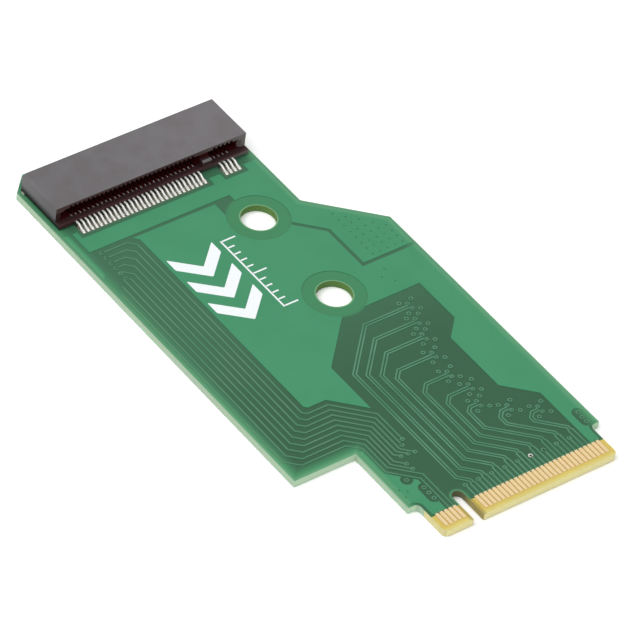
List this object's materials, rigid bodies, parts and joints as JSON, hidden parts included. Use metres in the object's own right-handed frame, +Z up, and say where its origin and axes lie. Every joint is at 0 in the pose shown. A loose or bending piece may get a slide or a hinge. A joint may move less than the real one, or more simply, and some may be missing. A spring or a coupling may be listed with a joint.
{
  "type": "card edge extension adapter",
  "caption": "Flat stepped circuit board with a keyed card edge at its front and a low drive socket, set off to the left, at its back, with screw holes between them.",
  "frame": {"origin": "middle of the card edge, at the underside of the board", "axes": "+X to the right along the card edge, +Y from the card edge towards the socket, +Z up from the board towards the socket's top"},
  "size_m": [0.0289, 0.058, 0.0029],
  "materials": {
    "laminate": "green lacquer over glass-fibre laminate, bare and yellowish at the card edge",
    "lacquered_copper": "copper under glossy green lacquer",
    "gold_plating": "gold plating, satin",
    "tin_plating": "tinned copper",
    "contact_metal": "tin plated spring metal",
    "solder": "bright solder",
    "housing_plastic": "dark moulded plastic, fine matte"
  },
  "bodies": {
    "root": {"circuit_board": "laminate", "top_edge_fingers": "gold_plating", "bottom_edge_fingers": "gold_plating", "front_tail_pads": "tin_plating", "rear_tail_pads": "tin_plating", "hold_down_pads": "tin_plating", "socket_housing": "housing_plastic", "lower_contacts": "contact_metal", "upper_contacts": "contact_metal", "left_hold_down_clip": "contact_metal", "right_hold_down_clip": "contact_metal", "hold_down_solder": "solder", "front_solder_joints": "solder", "rear_solder_joints": "solder", "differential_pair_traces": "lacquered_copper", "side_bus_traces": "lacquered_copper", "ground_stub_traces": "lacquered_copper", "top_supply_pour": "lacquered_copper", "top_ground_pour": "lacquered_copper", "bottom_ground_pour": "lacquered_copper"}
  },
  "joints": []
}
